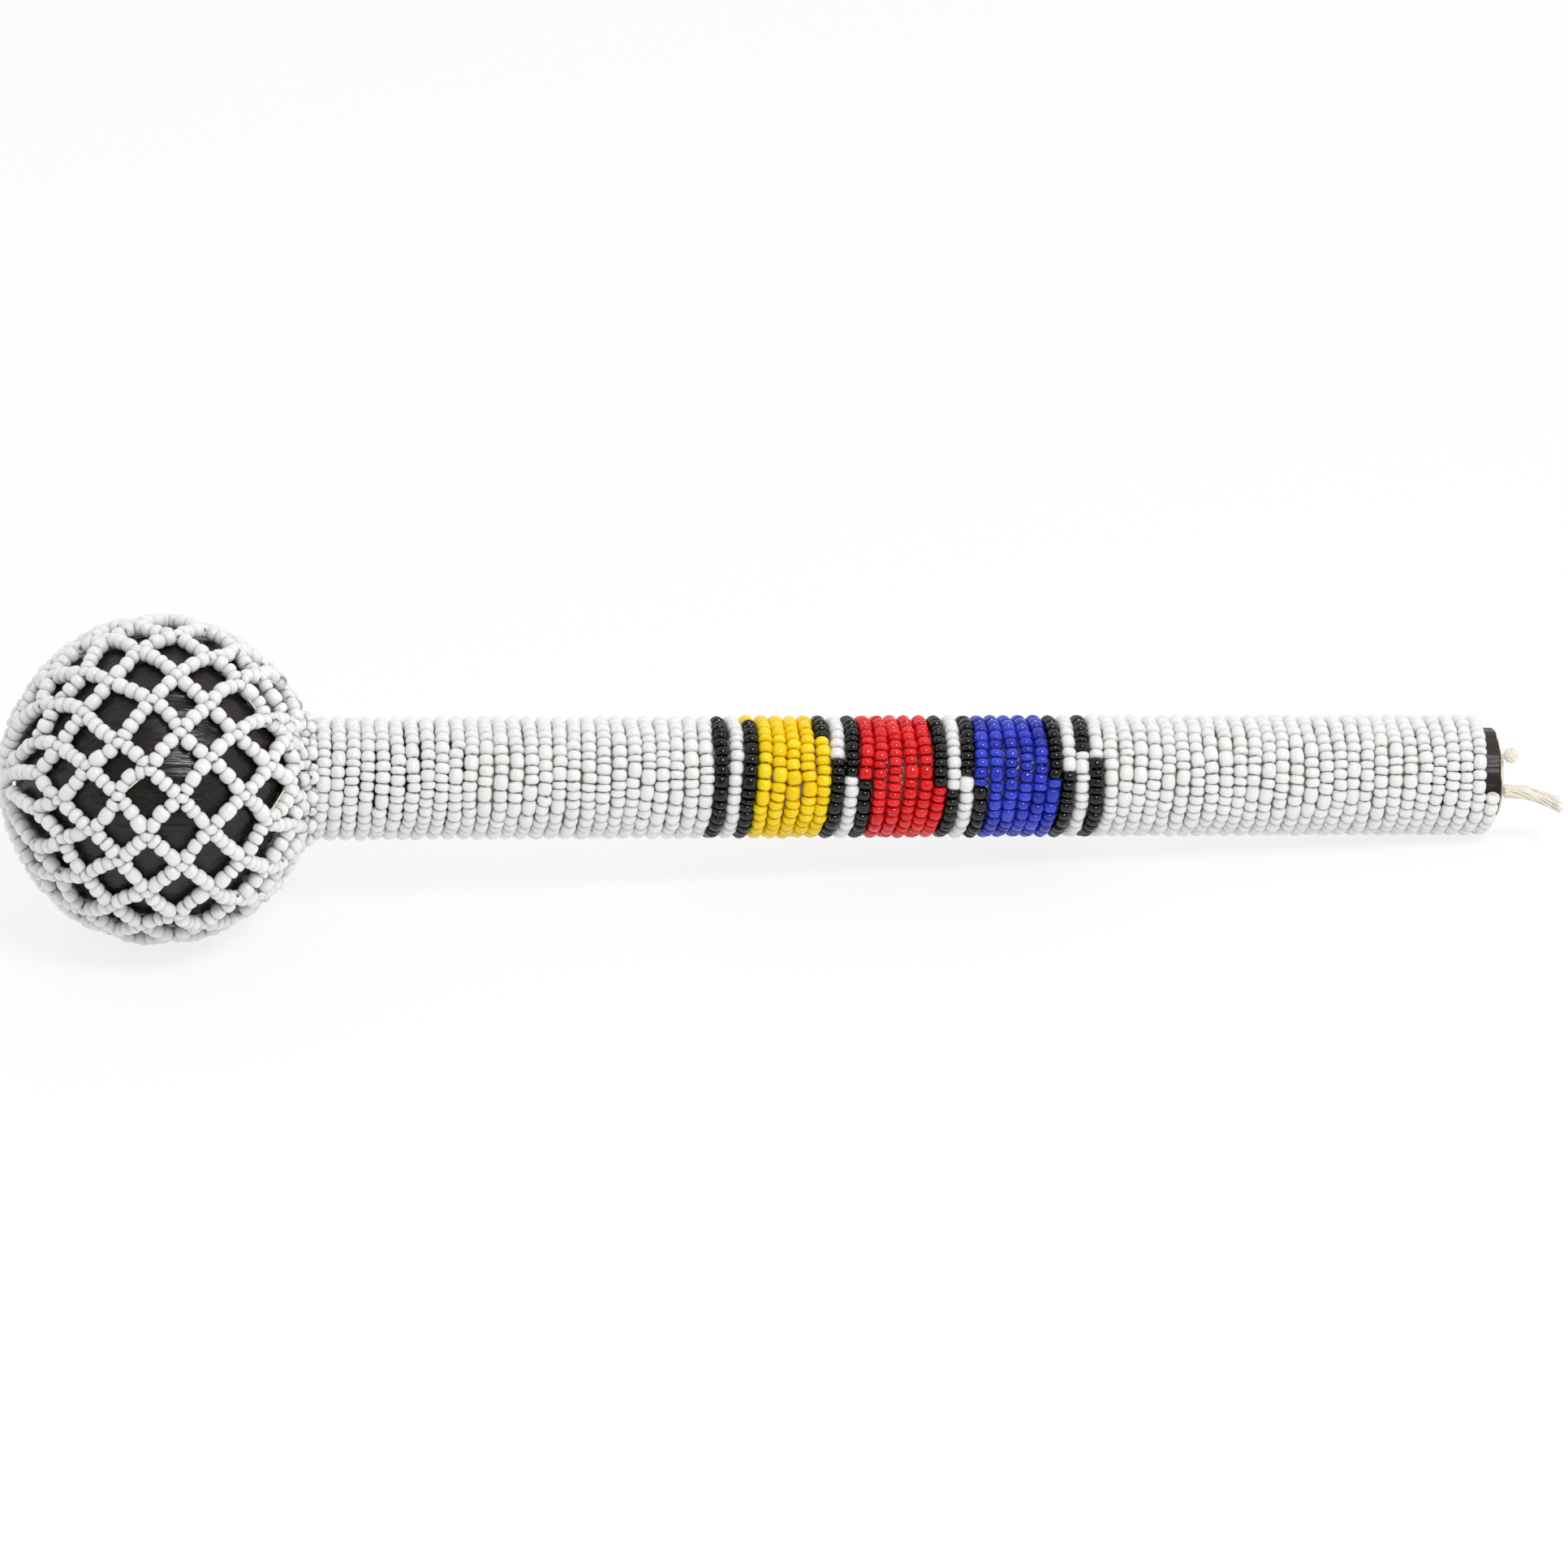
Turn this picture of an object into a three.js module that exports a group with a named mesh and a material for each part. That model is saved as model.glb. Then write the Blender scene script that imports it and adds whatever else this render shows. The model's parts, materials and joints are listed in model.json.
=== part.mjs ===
// A beaded ball rattle: a hollow ball head full of loose seeds on a straight dowel.
// The head wears a taped skin under a net of beads, and the dowel is wound from the
// head to the butt with one strand of beads in runs of colour.
// Millimetres, +Z up. The rattle lies on its head and on its last turn of beads, with
// +X from the head to the butt. The origin is under the middle of its bounding box.
import * as THREE from "three";
import { mergeVertices } from "three/addons/utils/BufferGeometryUtils.js";

// ---- Driving dimensions -------------------------------------------------------

const GAP = 0.3; // running gap between pieces that touch

// Head: a slightly flattened ball, measured over the wooden shell
const SHELL_RADIUS = 29.95; // across the stick
const SHELL_FLATTENING = 1.5; // how much shorter its half length is along the stick
const SHELL_WALL = 2.5;
const STUB_DEPTH = 22; // how far the dowel reaches into the head

// Tape: one wrinkled layer on the head, and a sleeve at each end of the dowel
const TAPE = 0.4;
const NECK_TAPE_TURNS = 10.3; // turns of beads that the neck sleeve runs under
const BUTT_TAPE_TURNS = 5.4;
const BUTT_TAPE_REACH = 0.5; // past the last turn of beads
const BARE_END = 0.5; // dowel left bare past the butt sleeve

// Dowel and the strand of beads wound round it
const DOWEL_RADIUS = 9.5;
const BEAD = 3; // bead diameter
const TURN_SLACK = 0.1; // what each turn takes beyond its bead
const GROOVE = 0.9; // depth of the groove between two turns

// Net on the head
const DIAMONDS = 15; // meshes of the net around the head
const NET_ROWS = 12; // half diamonds from the crown to the collar
const RESTING_ROW = 7; // the head lies on the edges of a mesh in this row
const KNOT_SHARE = 0.27; // half width of a crossing, as a share of half a diamond
const NET_LIFT = 0.6; // net's inner face above the tape
const CROWN_ANGLE = 4; // degrees from the pole to the net's first edge
const CROWN_BAND = 0.37; // plain band that closes the net at the pole, in rows
const COLLAR_BAND = 0.13; // and at the neck

// Loose seeds in the head
const SEED_RADIUS = 3;
const SEEDS_AROUND = 7; // seeds in the ring round the middle one
const SEED_ROOM = 0.6; // free space between neighbouring seeds
const STUB_ROOM = 0.9; // and between the seeds and the dowel's stub

// Cotton knot and thread tail at the butt
const KNOT_RADIUS = 1.5;
const KNOT_TURN = 41; // degrees round the sleeve, from the top
const TAIL_RADIUS = 1.5;
const TAIL_TURN = 78;
const TAIL_LENGTH = 12;
const TAIL_DROP = 3;
// The tail's course: shares of its length along X, and of its drop along Y and Z
const TAIL_COURSE = [
  [0, 0, 0],
  [1 / 3, 0, 0.1],
  [2 / 3, -0.3, -0.3],
  [1, -0.7, -1],
];

// Facets of the surfaces
const HEAD_FACETS = 24; // round the head
const HEAD_RINGS = 12; // from its pole to its neck
const STICK_FACETS = 20;
const TAIL_FACETS = 4; // in each half of the outline
const TAIL_STEPS = 6;
const BALL_DETAIL = 1; // splits of a twenty-sided ball
const WELD = 0.001; // corners nearer than this are one corner

// Roughness of the surfaces
const GLASS_ROUGHNESS = 0.2;
const TAPE_ROUGHNESS = 0.35;
const SEED_ROUGHNESS = 0.6;
const WOOD_ROUGHNESS = 0.7;
const COTTON_ROUGHNESS = 0.9;

// Turns of beads in each run of colour, from the head to the butt
const RUNS = [
  ["white_neck", "white", 26],
  ["black_1", "black", 1],
  ["white_1", "white", 1],
  ["black_2", "black", 1],
  ["yellow", "yellow", 5],
  ["black_3", "black", 1],
  ["white_2", "white", 1],
  ["black_4", "black", 1],
  ["red", "red", 5],
  ["black_5", "black", 1],
  ["white_3", "white", 1],
  ["black_6", "black", 1],
  ["blue", "blue", 5],
  ["black_7", "black", 1],
  ["white_4", "white", 1],
  ["black_8", "black", 1],
  ["white_butt", "white", 28],
];

// ---- Sizes that follow ----------------------------------------------------------

// A flattened ball about the stick's axis, its middle at x = 0
function ball(radius, flattening = SHELL_FLATTENING) {
  return { across: radius, along: radius - flattening };
}

const shellOuter = ball(SHELL_RADIUS);
const shellInner = ball(SHELL_RADIUS - SHELL_WALL);
const skinInner = ball(SHELL_RADIUS + GAP);
const skinOuter = ball(SHELL_RADIUS + GAP + TAPE);
const netInner = ball(skinOuter.across + NET_LIFT);
const netOuter = ball(netInner.across + BEAD);

const sleeveInner = DOWEL_RADIUS + GAP;
const sleeveOuter = sleeveInner + TAPE;
const shellMouth = DOWEL_RADIUS + GAP;
const skinMouth = sleeveOuter + GAP;
const crestRadius = DOWEL_RADIUS + GAP + BEAD;

const pitch = BEAD + TURN_SLACK;
const turns = RUNS.reduce((sum, [, , count]) => sum + count, 0);
const collarAngle = Math.asin(skinMouth / netInner.across);
const strandStart = netOuter.along * Math.cos(collarAngle) + GAP;
const strandEnd = strandStart + turns * pitch;
const dowelStart = xAtRadius(shellOuter, shellMouth) - STUB_DEPTH;
const neckSleeveStart = xAtRadius(shellOuter, shellMouth) + GAP + TAPE;
const buttSleeveEnd = strandEnd + BUTT_TAPE_REACH;
const dowelEnd = buttSleeveEnd + BARE_END;

// Where a ball's surface on the stick's side is this far from the axis
function xAtRadius({ across, along }, radius) {
  return along * Math.sqrt(1 - (radius / across) ** 2);
}

// ---- Materials --------------------------------------------------------------------

function finish(color, roughness) {
  return new THREE.MeshStandardMaterial({ color, roughness, metalness: 0 });
}

const beadColours = {
  white: 0xeeede8,
  black: 0x18171a,
  yellow: 0xf6c41b,
  red: 0xcc282b,
  blue: 0x3740a6,
};
const palewood = finish(0xece4d2, WOOD_ROUGHNESS);
const gourdwood = finish(0xa9804f, WOOD_ROUGHNESS);
const seedwood = finish(0x6b4326, SEED_ROUGHNESS);
const tape = finish(0x2b2423, TAPE_ROUGHNESS);
const cotton = finish(0xeee4c8, COTTON_ROUGHNESS);

// ---- Shapes -------------------------------------------------------------------------

// A turned solid about X from [x, radius] points. Its lowest facet lies flat, so that
// the piece doesn't stand on an edge.
function turned(profile, facets) {
  const points = profile.map(([x, radius]) => new THREE.Vector2(radius, x));
  const start = Math.PI / facets;
  return new THREE.LatheGeometry(points, facets, start).rotateZ(-Math.PI / 2);
}

// Profile points along a ball from angle to angle, counted from the pole at -X
function arc({ across, along }, from, to, steps) {
  return Array.from({ length: steps + 1 }, (_, i) => {
    const angle = from + ((to - from) * i) / steps;
    return [-along * Math.cos(angle), Math.max(across * Math.sin(angle), 0)];
  });
}

// A hollow ball, open at the neck, between two ball surfaces
function openBall(outer, inner, mouth) {
  const outerEnd = Math.PI - Math.asin(mouth / outer.across);
  const innerEnd = Math.PI - Math.asin(mouth / inner.across);
  const profile = [
    ...arc(outer, 0, outerEnd, HEAD_RINGS),
    ...arc(inner, innerEnd, 0, HEAD_RINGS),
  ];
  return turned(profile, HEAD_FACETS);
}

// A plain tube about the stick's axis
function sleeve(from, to, inner, outer) {
  const profile = [
    [from, inner],
    [from, outer],
    [to, outer],
    [to, inner],
    [from, inner],
  ];
  return turned(profile, STICK_FACETS);
}

// What one turn takes in a run of this many turns, which leaves half a gap at each end
function turnWidth(count) {
  return pitch - GAP / count;
}

// Turns of beads round the stick: a tube with a crest at each turn
function windings(from, count, inner) {
  const start = from + GAP / 2;
  const width = turnWidth(count);
  const end = start + count * width;
  const groove = crestRadius - GROOVE;
  const profile = [[start, inner], [start, groove]];
  for (let turn = 0; turn < count; turn += 1) {
    profile.push([start + (turn + 0.5) * width, crestRadius]);
    profile.push([start + (turn + 1) * width, groove]);
  }
  profile.push([end, inner], [start, inner]);
  return turned(profile, STICK_FACETS);
}

// The net's first and last edges, in rows
const firstEdge = -KNOT_SHARE - CROWN_BAND;
const lastEdge = NET_ROWS + KNOT_SHARE + COLLAR_BAND;

// The net: crossings in rows round the head, each joined to two crossings in the next
// row. A face is a list of corners, each a row and a column of half diamonds, both with
// fractions. An edge that only one face has becomes a wall of a mesh.
function netGeometry() {
  const columns = 2 * DIAMONDS;
  const faces = [];
  const crossing = (row, column) => {
    const closed = row === 0 || row === NET_ROWS;
    const reach = closed ? 1 : KNOT_SHARE;
    return {
      up: [row - KNOT_SHARE, column],
      down: [row + KNOT_SHARE, column],
      left: [row, column - reach],
      right: [row, column + reach],
    };
  };
  for (let row = 0; row <= NET_ROWS; row += 1) {
    for (let column = row % 2; column < columns; column += 2) {
      const here = crossing(row, column);
      faces.push([here.up, here.left, here.down, here.right]);
      if (row < NET_ROWS) {
        const left = crossing(row + 1, column - 1);
        const right = crossing(row + 1, column + 1);
        faces.push([here.down, here.left, left.up, left.right]);
        faces.push([here.right, here.down, right.left, right.up]);
      }
      if (row === 0 || row === NET_ROWS) {
        faces.push(...bandFaces(here, row === 0 ? -1 : 1));
      }
    }
  }
  return thickened(faces, columns);
}

// The plain band beside one closing crossing: two faces that reach a smooth circle
function bandFaces({ up, down, left, right }, side) {
  const tip = side < 0 ? up : down;
  const edge = side < 0 ? firstEdge : lastEdge;
  const [a, b, c] = [left, tip, right].map(([, column]) => [edge, column]);
  if (side < 0) return [[a, left, tip, b], [b, tip, right, c]];
  return [[tip, left, a, b], [right, tip, b, c]];
}

// A solid from faces on the net's rows and columns, between its two ball surfaces
function thickened(faces, columns) {
  const corners = new Map();
  const places = [];
  const indexOf = ([row, column]) => {
    const wrapped = (column + columns) % columns;
    const key = `${row.toFixed(4)} ${wrapped.toFixed(4)}`;
    if (!corners.has(key)) {
      corners.set(key, places.length / 2);
      places.push(onNet(row, wrapped, netOuter), onNet(row, wrapped, netInner));
    }
    return corners.get(key);
  };
  const loops = faces.map((face) => face.map(indexOf));
  const edges = new Set();
  const edgesOf = (loop) => loop.map((a, i) => [a, loop[(i + 1) % loop.length]]);
  loops.forEach((loop) => edgesOf(loop).forEach(([a, b]) => edges.add(`${a} ${b}`)));
  const indices = [];
  for (const loop of loops) {
    for (let i = 1; i < loop.length - 1; i += 1) {
      const [a, b, c] = [loop[0], loop[i], loop[i + 1]];
      indices.push(2 * a, 2 * b, 2 * c);
      indices.push(2 * a + 1, 2 * c + 1, 2 * b + 1);
    }
    for (const [a, b] of edgesOf(loop)) {
      if (!edges.has(`${b} ${a}`)) {
        indices.push(2 * a, 2 * a + 1, 2 * b);
        indices.push(2 * b, 2 * a + 1, 2 * b + 1);
      }
    }
  }
  const geometry = new THREE.BufferGeometry().setFromPoints(places);
  geometry.setIndex(indices);
  geometry.computeVertexNormals();
  return geometry;
}

// A row's angle from the pole. The rows share the way from the pole to the resting row
// evenly, and the way from there to the neck.
function polarOf(row) {
  const rest = Math.PI / 2 + Math.asin(restSlope());
  const first = THREE.MathUtils.degToRad(CROWN_ANGLE);
  const last = Math.PI - collarAngle;
  if (row < RESTING_ROW) {
    return first + ((rest - first) * (row - firstEdge)) / (RESTING_ROW - firstEdge);
  }
  return rest + ((last - rest) * (row - RESTING_ROW)) / (lastEdge - RESTING_ROW);
}

// A place on the net. Column 0 runs along the underside of the head.
function onNet(row, column, { across, along }) {
  const polar = polarOf(row);
  const turn = (column * Math.PI) / DIAMONDS;
  const radius = across * Math.sin(polar);
  return new THREE.Vector3(
    -along * Math.cos(polar),
    -radius * Math.sin(turn),
    -radius * Math.cos(turn),
  );
}

// Sine of the slope that the stick lies at, for a round head on a round butt
function restSlope() {
  return (netOuter.across - crestRadius) / (strandEnd - pitch / 2);
}

// A cotton tail that leaves the end of the strand, runs on and sags
function tailGeometry() {
  const outline = new THREE.Shape();
  outline.absarc(0, 0, TAIL_RADIUS, 0, 2 * Math.PI);
  const course = TAIL_COURSE.map(
    ([x, y, z]) => new THREE.Vector3(x * TAIL_LENGTH, y * TAIL_DROP, z * TAIL_DROP),
  );
  return new THREE.ExtrudeGeometry(outline, {
    extrudePath: new THREE.CatmullRomCurve3(course),
    steps: TAIL_STEPS,
    curveSegments: TAIL_FACETS,
  });
}

// ---- Assembly ---------------------------------------------------------------------------

function piece(name, geometry, material) {
  const mesh = new THREE.Mesh(geometry, material);
  mesh.name = name;
  return mesh;
}

// The stick's own frame: the axis along X, the head's middle at its origin
const stick = new THREE.Group();

function addHead() {
  stick.add(piece("head_shell", openBall(shellOuter, shellInner, shellMouth), gourdwood));
  stick.add(piece("head_tape", openBall(skinOuter, skinInner, skinMouth), tape));
  stick.add(piece("head_bead_net", netGeometry(), finish(beadColours.white, GLASS_ROUGHNESS)));
}

function addDowel() {
  const profile = [
    [dowelStart, 0],
    [dowelStart, DOWEL_RADIUS],
    [dowelEnd, DOWEL_RADIUS],
    [dowelEnd, 0],
  ];
  stick.add(piece("handle_dowel", turned(profile, STICK_FACETS), palewood));
  const neckEnd = strandStart + NECK_TAPE_TURNS * pitch;
  const neck = sleeve(neckSleeveStart, neckEnd, sleeveInner, sleeveOuter);
  stick.add(piece("neck_tape", neck, tape));
  const buttStart = strandEnd - BUTT_TAPE_TURNS * pitch;
  const butt = sleeve(buttStart, buttSleeveEnd, sleeveInner, sleeveOuter);
  stick.add(piece("butt_tape", butt, tape));
}

// The first and last runs lie over tape, and the runs between them on the dowel
function addStrand() {
  let x = strandStart;
  RUNS.forEach(([name, colour, count], index) => {
    const overTape = index === 0 || index === RUNS.length - 1;
    const inner = (overTape ? sleeveOuter : DOWEL_RADIUS) + GAP;
    const material = finish(beadColours[colour], GLASS_ROUGHNESS);
    stick.add(piece(`strand_${name}`, windings(x, count, inner), material));
    x += count * pitch;
  });
}

// The knot and the tail sit on the butt sleeve, past the last turn, on the -Y side
function addThreadEnds() {
  const onSleeve = (angle, radius, x) => {
    const turn = THREE.MathUtils.degToRad(angle);
    const reach = sleeveOuter + GAP + radius;
    return new THREE.Vector3(x, -reach * Math.sin(turn), reach * Math.cos(turn));
  };
  const round = new THREE.IcosahedronGeometry(KNOT_RADIUS, BALL_DETAIL);
  const knot = piece("thread_knot", round, cotton);
  knot.position.copy(onSleeve(KNOT_TURN, KNOT_RADIUS, strandEnd + GAP + KNOT_RADIUS));
  stick.add(knot);
  const tail = piece("thread_tail", tailGeometry(), cotton);
  tail.position.copy(onSleeve(TAIL_TURN, TAIL_RADIUS, strandEnd + GAP));
  stick.add(tail);
}

addHead();
addDowel();
addStrand();
addThreadEnds();

// ---- Lying at rest ----------------------------------------------------------------------

// The slope that brings the lowest corner of the head level with the last crest
function slopeAtRest() {
  const net = stick.getObjectByName("head_bead_net").geometry.attributes.position;
  const [, , lastCount] = RUNS.at(-1);
  const butt = new THREE.Vector2(
    strandEnd - GAP / 2 - turnWidth(lastCount) / 2,
    -crestRadius * Math.cos(Math.PI / STICK_FACETS),
  );
  let steepest = 0;
  for (let i = 0; i < net.count; i += 1) {
    const drop = butt.y - net.getZ(i);
    steepest = Math.max(steepest, Math.atan2(drop, butt.x - net.getX(i)));
  }
  return steepest;
}

const slope = slopeAtRest();
stick.rotation.y = slope;

// Seeds heap on the floor of the head, clear of the dowel's stub. Each keeps to its own
// upright column, from the floor to the roof of the head.
function addSeeds(group) {
  const spacing = 2 * SEED_RADIUS + SEED_ROOM;
  const ring = spacing / (2 * Math.sin(Math.PI / SEEDS_AROUND));
  const middle = dowelStart - STUB_ROOM - SEED_RADIUS - ring;
  const spots = [[middle, 0]];
  for (let i = 0; i < SEEDS_AROUND; i += 1) {
    const turn = (i * 2 * Math.PI) / SEEDS_AROUND;
    spots.push([middle + ring * Math.cos(turn), ring * Math.sin(turn)]);
  }
  spots.forEach(([x, y], index) => {
    const [floor, roof] = column(x, y);
    const seed = piece(
      `seed_${index + 1}`,
      new THREE.IcosahedronGeometry(SEED_RADIUS, BALL_DETAIL),
      seedwood,
    );
    seed.position.set(x, y, floor);
    seed.userData.travel = roof - floor;
    group.add(seed);
  });
}

// The lowest and highest middle of a seed at x, y in the tilted hollow of the head
function column(x, y) {
  const facet = Math.cos(Math.PI / HEAD_FACETS) ** 2;
  const across = shellInner.across * facet - SEED_RADIUS - GAP;
  const along = shellInner.along * facet - SEED_RADIUS - GAP;
  const [c, s] = [Math.cos(slope), Math.sin(slope)];
  const a = (s / along) ** 2 + (c / across) ** 2;
  const b = 2 * x * s * c * (1 / across ** 2 - 1 / along ** 2);
  const rest = ((x * c) / along) ** 2 + ((x * s) ** 2 + y * y) / across ** 2 - 1;
  const root = Math.sqrt(b * b - 4 * a * rest);
  return [(-b - root) / (2 * a), (-b + root) / (2 * a)];
}

const rattle = new THREE.Group();
rattle.add(stick);
addSeeds(rattle);

// Weld each surface, so that it is one closed skin
rattle.traverse((node) => {
  if (!node.isMesh) return;
  node.geometry.deleteAttribute("uv");
  node.geometry.deleteAttribute("normal");
  node.geometry = mergeVertices(node.geometry, WELD);
  node.geometry.computeVertexNormals();
});

// Stand the rattle on z = 0, its bounding box centred on the origin
rattle.updateMatrixWorld(true);
const box = new THREE.Box3().setFromObject(rattle, true);
const centre = box.getCenter(new THREE.Vector3());
rattle.position.set(-centre.x, -centre.y, -box.min.z);

export default rattle;
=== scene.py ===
# %% [markdown]
# # A beaded ball rattle, piece by piece
# The real rattle is a hollow ball on a straight dowel. The ball is wrapped in stretched
# black tape and wears a net of white seed beads. The dowel is wound from the ball to the
# butt with one long string of seed beads, white with bands of black, yellow, red and
# blue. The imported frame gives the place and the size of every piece, so this lesson
# starts by reading it.

# %% Load the frame
import json
import math

import bpy
import numpy as np
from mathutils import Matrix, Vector


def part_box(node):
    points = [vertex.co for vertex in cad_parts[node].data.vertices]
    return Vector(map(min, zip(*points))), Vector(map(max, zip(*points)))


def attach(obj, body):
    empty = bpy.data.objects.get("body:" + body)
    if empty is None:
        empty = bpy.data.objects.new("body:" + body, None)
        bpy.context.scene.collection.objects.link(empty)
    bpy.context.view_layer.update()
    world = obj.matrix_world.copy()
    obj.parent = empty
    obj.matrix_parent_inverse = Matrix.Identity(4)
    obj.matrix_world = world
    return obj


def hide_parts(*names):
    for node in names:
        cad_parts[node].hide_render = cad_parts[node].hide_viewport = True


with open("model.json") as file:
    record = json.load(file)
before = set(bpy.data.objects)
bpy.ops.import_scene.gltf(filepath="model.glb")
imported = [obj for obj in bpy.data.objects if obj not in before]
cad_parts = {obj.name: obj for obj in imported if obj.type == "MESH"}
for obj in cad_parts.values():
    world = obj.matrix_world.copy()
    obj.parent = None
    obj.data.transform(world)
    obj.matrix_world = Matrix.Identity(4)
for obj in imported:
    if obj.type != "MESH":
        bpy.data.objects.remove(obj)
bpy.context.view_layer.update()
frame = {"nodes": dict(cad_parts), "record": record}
record = frame["record"]
MM = 0.001

# %% [markdown]
# ## The stick's own axes
# The rattle lies on its head and on the last turn of beads, so the stick slopes a little.
# Everything on it is round about the stick, and is far easier to lay out in axes that
# follow the stick: `along` from the head to the butt, `side` across, and `rise` upward.
# The flat end of the dowel is a mount, and its position and direction give those axes.
# The head's middle is where the stick's axis crosses the middle of the bead net.

# %% Axes that follow the stick
butt_mount = next(m for m in record["mounts"] if m["name"] == "butt_end")
butt_end = np.array(butt_mount["pos_m"])
along = np.array(butt_mount["axis"])
side = np.array([0.0, 1.0, 0.0])
rise = np.cross(along, side)

net_low, net_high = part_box("head_bead_net")
FLATTENING = 1.5 * MM  # how much shorter the head's half length is along the stick
NET_ROUNDING = 0.1 * MM  # what the frame's faceted net lacks of a true ball
net_across = (net_high.y - net_low.y) / 2 + NET_ROUNDING
net_along = net_across - FLATTENING
reach = (butt_end[0] - (net_low.x + net_along)) / along[0]
head_middle = butt_end - along * reach


def on_frame(points):
    """Places along, side and rise of the head's middle, as places in the frame."""
    return head_middle + points @ np.array([along, side, rise])


def round_stick(x, radius, turn):
    """A place round the stick. The turn starts at the top and goes to the near side."""
    x, radius, turn = np.broadcast_arrays(x, radius, turn)
    return np.stack([x, -radius * np.sin(turn), radius * np.cos(turn)], axis=-1)


stick_length = float(reach)
print("head middle", head_middle.round(4), "stick reach", round(stick_length, 4))

# %% [markdown]
# ## A mesh from arrays
# A rattle like this has about four thousand beads. Making each with an operator would
# take minutes, so each run of beads is one mesh, filled from arrays of places and faces.
# Numbers that belong to a point, such as the tint of its bead, go in as attributes that
# the materials read.

# %% Mesh helper
def make_piece(name, points, quads, body, slot, nodes=(), **attributes):
    """A smooth mesh from places in the frame, riding on a body."""
    mesh = bpy.data.meshes.new(name)
    mesh.vertices.add(len(points))
    mesh.vertices.foreach_set("co", np.asarray(points, np.float32).ravel())
    mesh.loops.add(quads.size)
    mesh.loops.foreach_set("vertex_index", quads.astype(np.int32).ravel())
    mesh.polygons.add(len(quads))
    mesh.polygons.foreach_set("loop_start", np.arange(0, quads.size, 4, dtype=np.int32))
    mesh.update(calc_edges=True)
    mesh.polygons.foreach_set("use_smooth", np.ones(len(quads), bool))
    for key, values in attributes.items():
        kind = "FLOAT" if values.ndim == 1 else "FLOAT_VECTOR"
        field = "value" if values.ndim == 1 else "vector"
        layer = mesh.attributes.new(key, kind, "POINT")
        layer.data.foreach_set(field, values.astype(np.float32).ravel())
    mesh.validate()
    piece = bpy.data.objects.new(name, mesh)
    bpy.context.scene.collection.objects.link(piece)
    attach(piece, body)
    if nodes:
        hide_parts(*nodes)
    return piece


def grid_quads(rows, columns, close_rows=False):
    """Faces of a grid of points that closes on itself across its columns."""
    count = rows if close_rows else rows - 1
    row, column = np.meshgrid(np.arange(count), np.arange(columns), indexing="ij")
    after, right = (row + 1) % rows, (column + 1) % columns
    corners = [(row, column), (row, right), (after, right), (after, column)]
    return np.stack([r * columns + c for r, c in corners], axis=-1).reshape(-1, 4)


def turned(profile, sides):
    """A turned shape from [x, radius] points, as points and faces."""
    turn = np.arange(sides) * 2 * math.pi / sides
    x, radius = np.asarray(profile, float).T
    points = round_stick(x[:, None], radius[:, None], -turn[None, :])
    return points.reshape(-1, 3), grid_quads(len(profile), sides)


# %% [markdown]
# ## Shader sums as Python
# A finish is a small sum: a colour, plus some streaks, times a bit of wear. Writing it
# with plain operators keeps it short. A `Wire` is one socket in a node tree, and an
# operator on it adds a Math node. `Finish.node` adds any other node.

# %% Wires and finishes
class Wire:
    """One output of a node tree, on which +, - and * add Math nodes."""

    def __init__(self, finish, socket):
        self.finish, self.socket = finish, socket

    def sum_of(self, operation, first, second):
        return self.finish.node("Math", {"operation": operation}, {0: first, 1: second})

    def __add__(self, other):
        return self.sum_of("ADD", self, other)

    def __radd__(self, other):
        return self.sum_of("ADD", other, self)

    def __sub__(self, other):
        return self.sum_of("SUBTRACT", self, other)

    def __rsub__(self, other):
        return self.sum_of("SUBTRACT", other, self)

    def __mul__(self, other):
        return self.sum_of("MULTIPLY", self, other)

    def __rmul__(self, other):
        return self.sum_of("MULTIPLY", other, self)


class Finish:
    """A material with one Principled shader and the nodes that feed it."""

    def __init__(self, name):
        self.material = bpy.data.materials.new(name)
        self.material.use_nodes = True
        self.tree = self.material.node_tree
        self.shader = self.tree.nodes["Principled BSDF"]

    def node(self, kind, settings=None, inputs=None, output=0):
        """Adds a node: its settings first, then the values or wires of its sockets."""
        node = self.tree.nodes.new("ShaderNode" + kind)
        for key, value in (settings or {}).items():
            setattr(node, key, value)
        for key, value in (inputs or {}).items():
            self.feed(node.inputs[key], value)
        return Wire(self, node.outputs[output])

    def feed(self, socket, value):
        if isinstance(value, Wire):
            self.tree.links.new(value.socket, socket)
        else:
            socket.default_value = value

    def set(self, **inputs):
        """Sets sockets of the shader, with _ for each space in a name."""
        for key, value in inputs.items():
            self.feed(self.shader.inputs[key.replace("_", " ")], value)

    def blend(self, factor, first, second):
        """A colour between two colours."""
        sockets = {0: factor, 6: first, 7: second}
        return self.node("Mix", {"data_type": "RGBA"}, sockets, output=2)

    def read(self, name, output):
        """A number or a vector that the mesh holds for each point."""
        return self.node("Attribute", {"attribute_name": name}, output=output)

    def noise(self, scale, place=None, detail=2.0):
        place = place or self.node("TexCoord", output="Object")
        sockets = {"Vector": place, "Scale": scale, "Detail": detail}
        return self.node("TexNoise", inputs=sockets)

    def spread(self, value, low, high, to_low=0.0, to_high=1.0):
        """A value's range from low to high, stretched to another range."""
        sockets = {0: value, 1: low, 2: high, 3: to_low, 4: to_high}
        return self.node("MapRange", inputs=sockets)

    def bump(self, height, distance, strength=1.0):
        sockets = {"Height": height, "Distance": distance, "Strength": strength}
        return self.node("Bump", inputs=sockets)


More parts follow.
